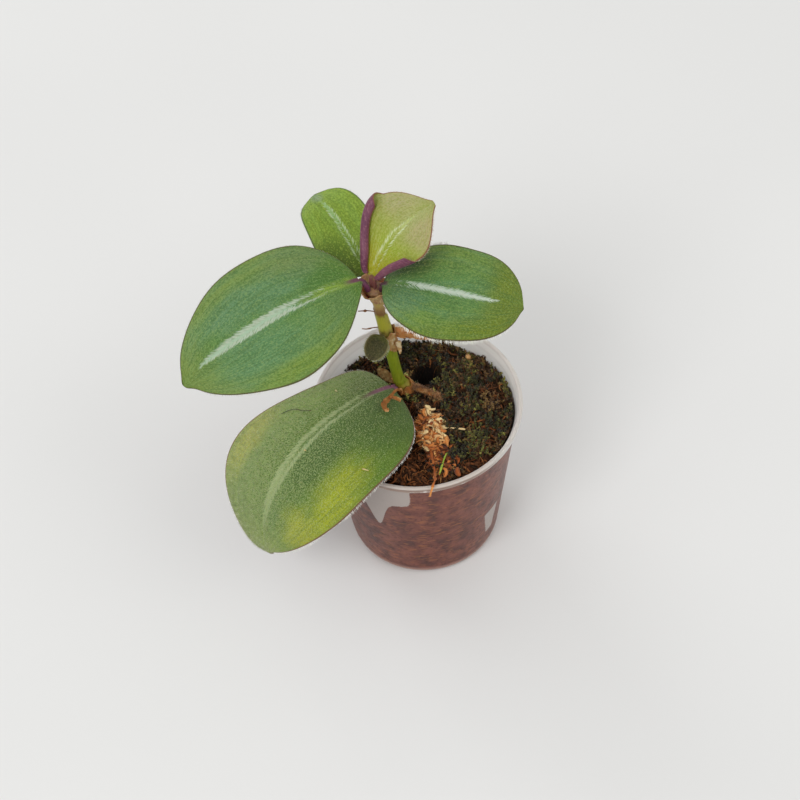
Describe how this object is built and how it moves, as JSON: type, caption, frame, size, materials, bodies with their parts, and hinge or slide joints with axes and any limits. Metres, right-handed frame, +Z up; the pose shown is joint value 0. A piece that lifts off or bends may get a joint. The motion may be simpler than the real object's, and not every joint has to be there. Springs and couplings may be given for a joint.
{
  "type": "potted brown spiderwort",
  "caption": "Young brown spiderwort with broad silver-striped leaves in a small frosted plastic pot filled with coir and moss.",
  "frame": {"origin": "centre of the pot's flat underside", "axes": "+Z up, +X to the right of somebody who stands in front of the plant, +Y away from them"},
  "size_m": [0.1011, 0.0916, 0.1234],
  "materials": {
    "frosted_polypropylene": "milky translucent moulded plastic, satin",
    "coir_and_moss": "damp coir fibres, bark crumbs and moss, rough",
    "green_stem": "smooth green stem skin, satin",
    "velvet_green_leaf": "softly hairy leaf with a silver stripe",
    "deep_green_leaf": "softly hairy leaf with a silver stripe",
    "dusty_green_leaf": "dense pale down over dull green",
    "bright_green_leaf": "fine-veined leaf with a silver stripe",
    "pale_young_leaf": "pale young leaf with purple margins",
    "olive_leaf": "dark olive leaf with a pale downy margin",
    "papery_tan_sheath": "dry papery skin",
    "dry_brown_sheath": "dry brown fuzzy skin",
    "dead_sphagnum": "dry orange-tan moss strands",
    "green_sprig": "bright green blade",
    "pale_bead": "pale grain",
    "tan_bead": "tan grain"
  },
  "bodies": {
    "root": {"pot": "frosted_polypropylene", "substrate": "coir_and_moss", "stem": "green_stem", "leaf_left": "velvet_green_leaf", "leaf_right": "deep_green_leaf", "leaf_low": "dusty_green_leaf", "leaf_back": "bright_green_leaf", "leaf_young": "pale_young_leaf", "leaf_small": "olive_leaf", "node_sheath": "papery_tan_sheath", "base_sheath": "dry_brown_sheath", "dry_moss": "dead_sphagnum", "green_sprig": "green_sprig", "pale_bead": "pale_bead", "tan_bead": "tan_bead"}
  },
  "joints": []
}
